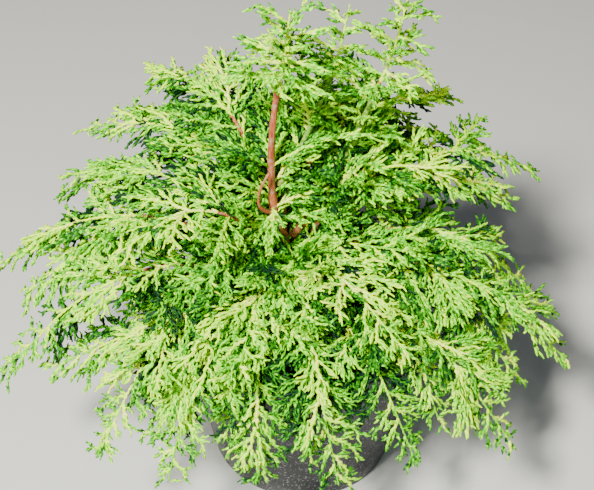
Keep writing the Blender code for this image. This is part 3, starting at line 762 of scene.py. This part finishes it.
def shoot_block(rows, steps, draw):
    """Points, quads and the tint of each quad, for shoots that all have that many steps."""
    t = np.linspace(0.0, 1.0, steps + 1)
    root, heading, face = (rows[:, None, i : i + 3] for i in (0, 3, 6))
    length, width, sweep, droop = (rows[:, i, None] for i in (9, 10, 11, 12))
    right = np.cross(heading, face)
    bend = right * sweep[..., None] - face * droop[..., None]
    phase = length / WAVE_LENGTH * t + draw.random((len(rows), 1))
    wave = WAVE_HEIGHT * np.sin(2 * math.pi * phase) * np.minimum(t * 4, 1)
    path = heading * t[:, None] + bend * (t * t)[:, None]
    centres = root + path * length[..., None] + right * wave[..., None]
    along = normalised(heading + 2 * bend * t[:, None])
    env = np.interp(t, OUTLINE_AT, OUTLINE_WIDTH)
    corners = ring_corners(centres, along, face, width, env, draw.uniform(0.85, 1.15, (len(rows), steps + 1)))
    quads = quads_of(len(rows), steps)
    quad = np.arange(steps * 4 + 1)
    tint = np.where(quad < 4 * round(steps * TIP_FROM), rows[:, 13, None], rows[:, 14, None])
    # Left and right in turn, a scale shows its shaded side.
    tint = np.maximum(tint - (quad // 4 + quad % 4) % 2, 0)
    return corners.reshape(-1, 3), quads.reshape(-1, 4), tint.reshape(-1).astype(int)


# %% [markdown]
# ## How a spray grows
#
# Shoots don't stand one by one. They branch in one plane, to the left and the right
# of an axis in turn, long ones near the middle and short ones towards its tip, and
# the longer ones fork again. Each leans forward, curves on towards the tip and nods
# a little. That flat fan is a spray, and it is the unit in which colour is dealt out.
# Its tint is painted light and shade: a spray given full light is painted lime, and
# one underneath is painted a deep bluish green, as painted shade. As a spray ripens,
# its axis and the lower halves of its shoots turn to straw, and one spray is riper
# than the next. So each shoot notes two tints, for its lower half and its tip.

# %% Grow one spray
SHOOT_SPACING = 0.0046  # along an axis, left and right in turn
FORK_SPACING = 0.0037
FORK_LENGTH = 0.0135
LEAST_FORK = 0.0055
LEAST_SHOOT = 0.0105
TINTS_IN_LIGHT = 4.1  # how many tints lie between no light and full light


def tint_near(light, draw, shift=0.0):
    """The number of a tint for that much light, from 0 to 1."""
    return min(max(round(light * TINTS_IN_LIGHT + shift + draw.uniform(-0.6, 0.6)), 0), len(TINTS) - 1)


def grow_shoot(root, heading, face, length, light, draw, hand, ripening_and_shade):
    """One cord of scales, curved on towards the spray's tip. hand is the side of the axis that it stands on.
    The last argument is how many tints its lower half is paler than its tip: above zero it ripens to straw,
    and below zero its foot is darker, as painted shade."""
    sweep = -hand * draw.uniform(-0.10, 0.60)
    droop = draw.uniform(-0.25, 0.40)
    tip = tint_near(light, draw, 0.45)
    base = min(max(tip + ripening_and_shade, 0), len(TINTS) - 1)
    write_down(root, heading, face, length, SHOOT_WIDTH * draw.uniform(0.82, 1.08), sweep, droop, base, tip)
    return sweep, droop


def grow_forked(root, heading, face, length, light, draw, hand, ripe):
    """A shoot that forks to its left and right in turn, shorter towards its tip."""
    # In light a forked shoot's foot ripens paler. In low light it is drawn at random from one tint darker, as
    # painted shade, the same tint and one tint paler.
    ripening_and_shade = round(draw.uniform(0.0, 3.8) * ripe) if light > 0.5 else draw.choice((-1, 0, 1))
    sweep, droop = grow_shoot(root, heading, face, length, light, draw, hand, ripening_and_shade)
    at = length * 0.22
    side = hand
    while at < length - FORK_SPACING:
        share = at / length
        place, onward = along_shoot(root, heading, face, length, sweep, droop, share)
        turn = math.radians(draw.uniform(24, 42))
        leaving = onward * math.cos(turn) + onward.cross(face) * side * math.sin(turn)
        leaving = (leaving + face * draw.uniform(-0.2, 0.2)).normalized()
        plane = square_to(face, leaving)
        reach = max(min(FORK_LENGTH, (length - at) * 1.1), LEAST_FORK) * draw.uniform(0.65, 1.1)
        # Each fork's lower half is painted up to two tints darker than its tip, as painted shade.
        grow_shoot(place, leaving, plane, reach, light, draw, side, -draw.choice((0, 1, 1, 2)))
        side = -side
        at += FORK_SPACING * draw.uniform(0.8, 1.25)


def grow_spray(root, heading, face, length, light, draw, sweep=0.0, droop=0.10):
    """A flat fan: an axis with forked shoots to its left and right in turn. It turns its face up to face."""
    face = square_to(face, heading)
    ripe = draw.random()
    axis_tint = tint_near(light, draw, 1.1 + 1.7 * ripe)
    write_down(root, heading, face, length, AXIS_WIDTH, sweep, droop, axis_tint, max(axis_tint - 1, 0))
    at = length * 0.08
    hand = draw.choice((-1, 1))
    while at < length * 0.96:
        share = at / length
        place, onward = along_shoot(root, heading, face, length, sweep, droop, share)
        turn = math.radians(48 - 22 * share + draw.uniform(-9, 9))
        tilt = draw.uniform(-0.20, 0.20)
        aside = (onward.cross(face) * hand + face * tilt).normalized()
        leaving = onward * math.cos(turn) + aside * math.sin(turn)
        reach = max(length * min(0.50, 1.06 - share), LEAST_SHOOT) * draw.uniform(0.62, 1.08)
        plane = square_to(face, leaving)
        here = light + draw.uniform(-0.1, 0.1)
        grow_forked(place, leaving.normalized(), plane, reach, here, draw, hand, ripe)
        hand = -hand
        at += SHOOT_SPACING * draw.uniform(0.8, 1.25)


# %% [markdown]
# ## How a mass grows
#
# A mass is a bough's leafy end. Its stem goes on from the bough in an arch, and
# carries sprays to its left and right in turn. Some stand over it in full light, and
# some hang under it in its shade: those over it are painted paler and those under it
# darker, as painted light and shade, so that pale combs lie on deep green. Towards the
# tip the sprays shorten until they are single shoots. The stem is brown where it
# leaves the bough, then straw, then green. A mass could be copied from one good one,
# but each is grown afresh and painted with its own light, since no two boughs meet
# the light in the same way.

# %% Follow a mass's stem
FAN_LENGTH = 0.056
STEM_HANDLES = (0.36, 0.30)
STEM_TURN = 0.6  # how far its end turns away from its start
LAST_FAN_SHARE = 0.6
LAST_HANDLE = 0.3
STEM_STEPS, LAST_STEPS = 16, 12
chains = []  # the stems, as (points, widths, tints)


def stem_line(root, heading, tip, size):
    """The stem's points, and after them the points of its last fan's axis, on to the tip."""
    start = root + heading * GAP
    reach = tip - start
    last = min(FAN_LENGTH * size, reach.length * LAST_FAN_SHARE)
    chord = reach.length - last
    arriving = (reach.normalized() * (1 + STEM_TURN) - heading * STEM_TURN).normalized()
    end = tip - arriving * last
    leaving_handle, arriving_handle = (chord * share for share in STEM_HANDLES)
    stem = bezier(start, start + heading * leaving_handle, end - arriving * arriving_handle, end, STEM_STEPS)
    onward = (stem[-1] - stem[-2]).normalized()
    low, high = end + onward * last * LAST_HANDLE, tip - arriving * last * LAST_HANDLE
    return stem, bezier(end, low, high, tip, LAST_STEPS), last


# %% Places and directions along a stem
def on_chain(points, share):
    """The point and direction at that share of a chain's steps."""
    at = min(max(share, 0.0), 0.9999) * (len(points) - 1)
    low = int(at)
    return points[low].lerp(points[low + 1], at - low), (points[low + 1] - points[low]).normalized()


def length_of(points):
    return sum((after - before).length for before, after in zip(points, points[1:]))


def level_frame(ahead):
    """The level direction to the right of a heading, and the one square to both."""
    side = ahead.cross(UP)
    side = side.normalized() if side.length > 0.2 else ahead.orthogonal().normalized()
    return side, side.cross(ahead).normalized()


# %% Sprays to the left and the right of a stem
SIDE_SPACING = 0.0085


def side_spray(place, ahead, hand, share, length, light, draw):
    """A spray that leaves the stem to that hand, further forward the nearer it is to the tip."""
    side, face = level_frame(ahead)
    spread = math.radians(62 - 22 * share + draw.uniform(-7, 7))
    lift = math.radians(draw.uniform(-14, 6))
    across = side * hand * math.cos(lift) + face * math.sin(lift)
    heading = (ahead * math.cos(spread) + across * math.sin(spread)).normalized()
    lean = math.radians(15 + draw.uniform(-10, 10))
    plane = face * math.cos(lean) + ahead * math.sin(lean)
    sweep = -hand * draw.uniform(-0.1, 0.3)
    droop = draw.uniform(-0.12, 0.18)
    grow_spray(place, heading, plane, length, light, draw, sweep, droop)


def grow_sides(stem, size, light, draw, slender):
    count = max(4, round(length_of(stem) / SIDE_SPACING))
    for number in range(count):
        share = (number + 0.5) / count
        place, ahead = on_chain(stem, share)
        length = FAN_LENGTH * size * draw.uniform(0.66, 1.12) * (1.08 - (0.4 + 0.4 * slender) * share)
        here = light + draw.uniform(-0.42, 0.24)
        side_spray(place, ahead, 1 if number % 2 else -1, share, length, here, draw)


# %% Sprays that stand over a stem, and sprays in its shade
CREST_SPACING = 0.019
UNDER_SPACING = 0.017


def grow_crest(stem, size, light, draw):
    for number in range(max(2, round(length_of(stem) / CREST_SPACING))):
        place, ahead = on_chain(stem, draw.uniform(0.05, 1.0))
        side, face = level_frame(ahead)
        rise = math.radians(draw.uniform(5, 30))
        heading = ahead * math.cos(rise) + face * math.sin(rise) + side * draw.uniform(-1.3, 1.3)
        length = FAN_LENGTH * size * draw.uniform(0.65, 0.95)
        sweep = draw.uniform(-0.5, 0.5)
        # Standing over the stem, a crest spray is painted paler, as painted light.
        here = light + draw.uniform(0.0, 0.38)
        grow_spray(place, heading.normalized(), face, length, here, draw, sweep, draw.uniform(-0.1, 0.4))


def grow_under(stem, size, light, draw):
    for number in range(max(2, round(length_of(stem) / UNDER_SPACING))):
        place, ahead = on_chain(stem, draw.uniform(0.0, 0.9))
        side, face = level_frame(ahead)
        heading = (ahead + side * draw.uniform(-1.1, 1.1) - face * draw.uniform(0.2, 0.6)).normalized()
        length = FAN_LENGTH * size * draw.uniform(0.55, 0.85)
        # Hanging under the stem, an under spray is painted darker, as painted shade.
        grow_spray(place, heading, face, length, light - draw.uniform(0.35, 0.6), draw)


# %% A mass, from its bough to its tip
LAST_SPACING = 0.0062
STEM_WIDTHS = (0.0036, 0.0014)
BROWN_STEPS, STRAW_STEPS = 5, 20


def stem_tints(count, brown_steps, straw_steps, straw):
    """A stem's tints: brown at its foot, then straw, then green."""
    green = max(straw - 2, 3)
    return [-1 if step < brown_steps else straw if step < straw_steps else green for step in range(count)]


def grow_mass(root, heading, tip, size, light, draw, slender=0.0):
    """A bough's leafy end, on to its tip. slender, from 0 to 1, narrows its outer half to an arm."""
    stem, last_axis, last = stem_line(root, heading, tip, size)
    grow_sides(stem, size, light, draw, slender)
    grow_crest(stem, size, light, draw)
    grow_under(stem, size, light, draw)
    count = max(4, round(last / LAST_SPACING))
    for number in range(count):
        share = (number + 0.6) / count
        place, ahead = on_chain(last_axis, share)
        wide = 0.62 - 0.26 * slender - 0.40 * share * (1 - 0.4 * slender)
        length = last * wide * draw.uniform(0.85, 1.1)
        here = light + draw.uniform(-0.1, 0.2)
        side_spray(place, ahead, 1 if number % 2 else -1, 0.6 + 0.4 * share, length, here, draw)
    whole = stem + last_axis[1:]
    tints = stem_tints(len(whole), BROWN_STEPS, STRAW_STEPS, tint_near(light, draw, 2.0))
    chains.append((whole, taper(STEM_WIDTHS, len(whole) - 1), tints))


# %% Grow the skirt and the middle tier
GROWTH_SEED = 11

draw = random.Random(GROWTH_SEED)
mass_nodes = []
# The middle tier is painted a little lighter than the skirt below it, as painted light.
for tier, table, light in (("skirt", SKIRT, 0.68), ("middle", MIDDLE, 0.74)):
    for number, (azimuth, reach, height) in enumerate(table, start=1):
        bough = lines[f"{tier}_bough_{number:02d}"][0]
        tip = HEART + compass(azimuth, reach, height)
        size = draw.uniform(0.80, 1.0)
        slender = abs(math.cos(math.radians(azimuth)))
        ahead = (bough[-1] - bough[-2]).normalized()
        grow_mass(bough[-1], ahead, tip, size, light + draw.uniform(-0.16, 0.12), draw, slender)
        mass_nodes.append(f"{tier}_foliage_{number:02d}")
print(len(mass_nodes), "masses,", len(shoots), "shoots written down")

# %% Grow the inner tier, straight on the trunk
# Each also has the height at which it leaves.
INNER = (
    (111, 0.058, 0.254, 0.207), (168, 0.062, 0.224, 0.178), (230, 0.080, 0.200, 0.176),
    (282, 0.080, 0.188, 0.177), (336, 0.090, 0.204, 0.176),
)
# The inner tier, deep in the plant, is painted darker than the outer ones, as painted shade.
INNER_SIZE, INNER_LIGHT = 0.9, 0.58
INNER_ARCH = 0.3
STEM_RADIUS = 0.0019


def upright_at(height):
    """The line of the trunk, or of the left leader that goes on from its fork."""
    return lines["trunk"] if height < TRUNK_FORK.z else lines["leader_left"]


for number, (azimuth, reach, height, level) in enumerate(INNER, start=1):
    tip = HEART + compass(azimuth, reach, height)
    foot, heading = leave(upright_at(level), level, STEM_RADIUS, tip, INNER_ARCH)
    grow_mass(foot, heading, tip, INNER_SIZE, INNER_LIGHT, draw)
    mass_nodes.append(f"inner_foliage_{number:02d}")
print(len(mass_nodes), "masses,", len(shoots), "shoots written down")

# %% Loose arms, which fill the widest gaps between the masses
# Each starts near the end of a bough: its azimuth, reach and height, and the size of its sprays.
LOOSE_ARMS = (
    ("middle_bough_01", 9, 0.150, 0.198, 0.60), ("middle_bough_02", 39, 0.146, 0.230, 0.50),
    ("skirt_bough_06", 151, 0.147, 0.219, 0.55), ("skirt_bough_08", 187, 0.168, 0.150, 0.60),
    ("skirt_bough_10", 206, 0.160, 0.136, 0.85), ("skirt_bough_11", 234, 0.136, 0.118, 0.70),
    ("skirt_bough_12", 252, 0.112, 0.112, 0.70), ("skirt_bough_15", 315, 0.140, 0.118, 0.60),
    ("skirt_bough_16", 335, 0.164, 0.127, 0.80),
)
ARM_LIGHT = 0.7

for bough_name, azimuth, reach, height, size in LOOSE_ARMS:
    place, ahead = on_chain(lines[bough_name][0], 0.9)
    grow_mass(place, ahead, HEART + compass(azimuth, reach, height), size, ARM_LIGHT, draw)
print(len(LOOSE_ARMS), "loose arms")

# %% [markdown]
# ## The tufts on the leaders
#
# An upright leader carries its sprays all round it, like steps of a winding stair.
# Each is turned on from the last by the golden angle, 137.5 degrees, so that none
# hides the next. Low ones lie flat and long, and the highest stand up and are short.

# %% Sprays all round a stem
TOP_LEFT = Vector((-0.008, 0.016, 0.346))
TOP_MIDDLE = Vector((0.027, 0.046, 0.334))
TOP_RIGHT = Vector((0.060, 0.030, 0.352))
# The tufts on top are painted paler than the tiers below, as painted light.
TOP_LIGHT = 0.76
TOP_STEM_WIDTHS = (0.0034, 0.0014)
TOP_BROWN_STEPS = 3
GOLDEN = math.radians(137.5)


def around(axis, turn):
    """The direction square to an axis, at that turn about it in radians."""
    across = axis.orthogonal().normalized()
    return across * math.cos(turn) + axis.cross(across) * math.sin(turn)


def grow_top(root, heading, tip, size, sprays, light, draw):
    """A mass on an upright leader, with that many sprays round its stem."""
    stem, last_axis, last = stem_line(root, heading, tip, size)
    whole = stem + last_axis[1:]
    turn = draw.uniform(0, 2 * math.pi)
    for number in range(sprays):
        turn += GOLDEN
        share = (number + 0.3) / sprays
        place, ahead = on_chain(whole, share * 0.92)
        ring = around(ahead, turn)
        near = abs(ring.y)  # the tufts are broader from left to right than from front to back
        climb = math.radians(draw.uniform(-8, 12) + 30 * share + 8 * near)
        out = (ring * math.cos(climb) + ahead * math.sin(climb)).normalized()
        plane = UP + ring * draw.uniform(-0.2, 0.2)
        length = FAN_LENGTH * size * draw.uniform(0.8, 1.1) * (1.0 - 0.45 * share) * (1 - 0.36 * near)
        here = light + draw.uniform(-0.2, 0.25)
        grow_spray(place, out, plane, length, here, draw, droop=draw.uniform(0.0, 0.28))
    tints = stem_tints(len(whole), TOP_BROWN_STEPS, len(whole), tint_near(light, draw, 1.6))
    chains.append((whole, taper(TOP_STEM_WIDTHS, len(whole) - 1), tints))


# %% Grow the three tufts
for name, limb, tip, size, sprays in (
    ("left", "leader_left", TOP_LEFT, 0.72, 24),
    ("middle", "top_bough", TOP_MIDDLE, 0.46, 14),
    ("right", "leader_right", TOP_RIGHT, 0.66, 18),
):
    centres = lines[limb][0]
    grow_top(centres[-1], (centres[-1] - centres[-2]).normalized(), tip, size, sprays, TOP_LIGHT, draw)
    mass_nodes.append(f"top_foliage_{name}")
print(len(shoots), "shoots with the tufts")

# %% [markdown]
# ## Leaves on the wood itself
#
# The boughs, the two younger limbs and the heart of the plant carry short sprays of
# their own, which close the gaps between the masses. The left leader is left bare:
# that red-brown stem between two tufts of green is what the eye goes to first.

# %% Sprays beside the boughs
BOUGH_SPRAYS = 8

for name in bough_names:
    for number in range(BOUGH_SPRAYS):
        place, ahead = on_chain(lines[name][0], 0.2 + 0.8 * (number + draw.random()) / BOUGH_SPRAYS)
        side, face = level_frame(ahead)
        slant = (1 if number % 2 else -1) * draw.uniform(0.3, 1.4)
        out = (ahead + side * slant + face * draw.uniform(-0.5, 0.7)).normalized()
        length = draw.uniform(0.024, 0.044)
        light = draw.uniform(0.15, 0.75)
        grow_spray(place, out, face, length, light, draw, droop=draw.uniform(0.05, 0.3))
print(len(shoots), "shoots with those beside the boughs")

# %% Sprays in the heart
HEART_SPRAYS = 60

for number in range(HEART_SPRAYS):
    azimuth = math.degrees(number * GOLDEN)
    in_front = math.sin(math.radians(azimuth)) < -0.5
    # In front they lie low and level, so that they hide the trunk and not the leader above it.
    height = draw.uniform(0.160, 0.208 if in_front else 0.240)
    limb = upright_at(height)
    centre, radius = at_height(limb, min(max(height, limb[0][0].z), limb[0][-1].z))
    rise = draw.uniform(0.0, 0.5) if in_front else draw.uniform(0.45, 1.1)
    out = compass(azimuth, 1.0, rise).normalized()
    length = draw.uniform(0.022, 0.034) if in_front else draw.uniform(0.028, 0.046)
    light = draw.uniform(0.25, 0.85)
    grow_spray(centre + out * radius, out, UP, length, light, draw, droop=draw.uniform(0.1, 0.4))
print(len(shoots), "shoots with those in the heart")

# %% Sprays round the two younger limbs
for name, first, count in (("leader_right", 0.15, 16), ("top_bough", 0.2, 10)):
    for number in range(count):
        place, ahead = on_chain(lines[name][0], first + (1 - first) * (number + 0.5) / count)
        out = (around(ahead, number * GOLDEN) + ahead * draw.uniform(0.6, 1.6)).normalized()
        length = draw.uniform(0.024, 0.040)
        light = draw.uniform(0.4, 0.9)
        grow_spray(place, out, UP, length, light, draw, droop=draw.uniform(0.1, 0.4))
print(len(shoots), "shoots with those on the younger limbs")

# %% [markdown]
# ## From notes to meshes
#
# Shoots that would stray out of the model's box or into the pot are dropped. The rest
# become quads, and each tint's quads become one mesh, cut into parts so that none is
# too heavy. A plain colour for each tint keeps every spray's tint exact, with the
# painted light and shade in it.

# %% Drop what strays
CLEAR = 0.002  # how far a shoot stays from the pot, and how far past the box it may go
RIM_WIDTH = 0.005  # of the collar with the wall in it
COMPOST_CLEAR = 0.004


def stays_clear(rows):
    """Which shoots keep inside the model's box and out of the pot."""
    right = np.cross(rows[:, 3:6], rows[:, 6:9])
    bend = right * rows[:, 11, None] - rows[:, 6:9] * rows[:, 12, None]
    keep = np.ones(len(rows), bool)
    for share in (0.0, 0.35, 0.7, 1.0):
        p = rows[:, 0:3] + (rows[:, 3:6] * share + bend * share * share) * rows[:, 9, None]
        keep &= ((p > BOX_LOW - CLEAR) & (p < BOX_HIGH + CLEAR)).all(axis=1)
        reach = np.hypot(p[:, 0], p[:, 1])
        outside = reach > POT_COLLAR_RADIUS + CLEAR
        inside = (reach < POT_COLLAR_RADIUS - RIM_WIDTH) & (p[:, 2] > COMPOST_TOP + COMPOST_CLEAR)
        keep &= outside | inside | (p[:, 2] > POT_HEIGHT + CLEAR)
    return keep


rows = np.array(shoots)
rows = rows[stays_clear(rows)]
print(len(rows), "shoots kept of", len(shoots))

# %% Make the quads
LEAST_STEPS = 4  # rings in the shortest shoot
STEM_RING_STEP = 0.0017
STEM_FACE = np.array((0.05, 0.08, 1.0))  # up, but tilted, so that no stem runs along it
WOBBLE_SEED = 5


def stem_block(points, widths, tints, draw):
    """Points, quads and the tint of each quad, for one stem."""
    count = round(length_of(points) / STEM_RING_STEP)
    centres = np.array([tuple(on_chain(points, ring / count)[0]) for ring in range(count + 1)])
    along = normalised(np.gradient(centres, axis=0))
    place = np.linspace(0, len(points) - 1, count + 1)
    width = np.interp(place, np.arange(len(points)), widths)
    face = np.broadcast_to(STEM_FACE, centres.shape)
    corners = ring_corners(centres, along, face, width, np.ones(count + 1), draw.uniform(0.9, 1.1, count + 1))
    ring_tint = np.array(tints)[place.round().astype(int)]
    quad_tint = np.concatenate([np.repeat(ring_tint[:-1], 4), ring_tint[-1:]])
    return corners.reshape(-1, 3), quads_of(1, count)[0], quad_tint


steps = np.maximum(np.round(rows[:, 9] / RING_STEP), LEAST_STEPS).astype(int)
numbers = np.random.default_rng(WOBBLE_SEED)
blocks = [shoot_block(rows[steps == count], count, numbers) for count in np.unique(steps)]
blocks += [stem_block(*chain, numbers) for chain in chains]
offsets = np.cumsum([0] + [len(points) for points, _, _ in blocks])
POINTS = np.concatenate([points for points, _, _ in blocks])
QUADS = np.concatenate([quads + offset for (_, quads, _), offset in zip(blocks, offsets)])
TINT_OF = np.concatenate([tint for _, _, tint in blocks])
QUADS_BY_TINT = {tint: QUADS[TINT_OF == number] for number, tint in enumerate(("brown", *TINTS), start=-1)}
print(2 * len(QUADS), "triangles:", {tint: 2 * len(quads) for tint, quads in QUADS_BY_TINT.items()})


# %% Living scales, one material for each tint
# From scales in deep shade to ripe ones in full light: the tints are painted shade and painted light as well
# as ripeness.
TINT_COLOURS = {
    "shade": "#0c2a1c",
    "deep": "#184c10",
    "green": "#328a00",
    "fresh": "#74cc00",
    "lime": "#b0f400",
    "gold": "#d6f800",
    "straw": "#eaf470",
}


def scale_leaves(tint, code):
    """Living scale leaves: waxy like a leaf's cuticle, of IOR 1.42, but dulled by a thin pale bloom."""
    # Each tint's copy of this material carries painted light and shade in its base colour.
    made, tree, shader = new_material(f"scale_leaves_{tint}")
    wire(tree, shader, {"Base Color": code, "Roughness": 0.55, "IOR": 1.42, "Specular IOR Level": 0.2})
    return made


# %% Make the meshes, a tint at a time
MOST_QUADS = 95_000


def quad_mesh(name, quads):
    """A mesh of the quads, with the points that they use."""
    used, corners = np.unique(quads, return_inverse=True)
    mesh = bpy.data.meshes.new(name)
    mesh.vertices.add(len(used))
    mesh.vertices.foreach_set("co", POINTS[used].astype(np.float32).ravel())
    mesh.loops.add(corners.size)
    mesh.loops.foreach_set("vertex_index", corners.reshape(-1).astype(np.int32))
    mesh.polygons.add(len(quads))
    mesh.polygons.foreach_set("loop_start", np.arange(0, corners.size, 4, dtype=np.int32))
    mesh.update(calc_edges=True)
    return mesh


for tint, quads in QUADS_BY_TINT.items():
    brown = tint == "brown"
    finish = BARK if brown else scale_leaves(tint, TINT_COLOURS[tint])
    for part in range(math.ceil(len(quads) / MOST_QUADS)):
        mesh = quad_mesh(f"shoots_{tint}", quads[part * MOST_QUADS : (part + 1) * MOST_QUADS])
        # The foliage is cut by tint, so its first mesh stands for all the blades of the model.
        blades = mass_nodes if (tint, part) == (TINTS[0], 0) else []
        piece_of(f"shoots_{tint}_{part + 1}", mesh, finish, blades)
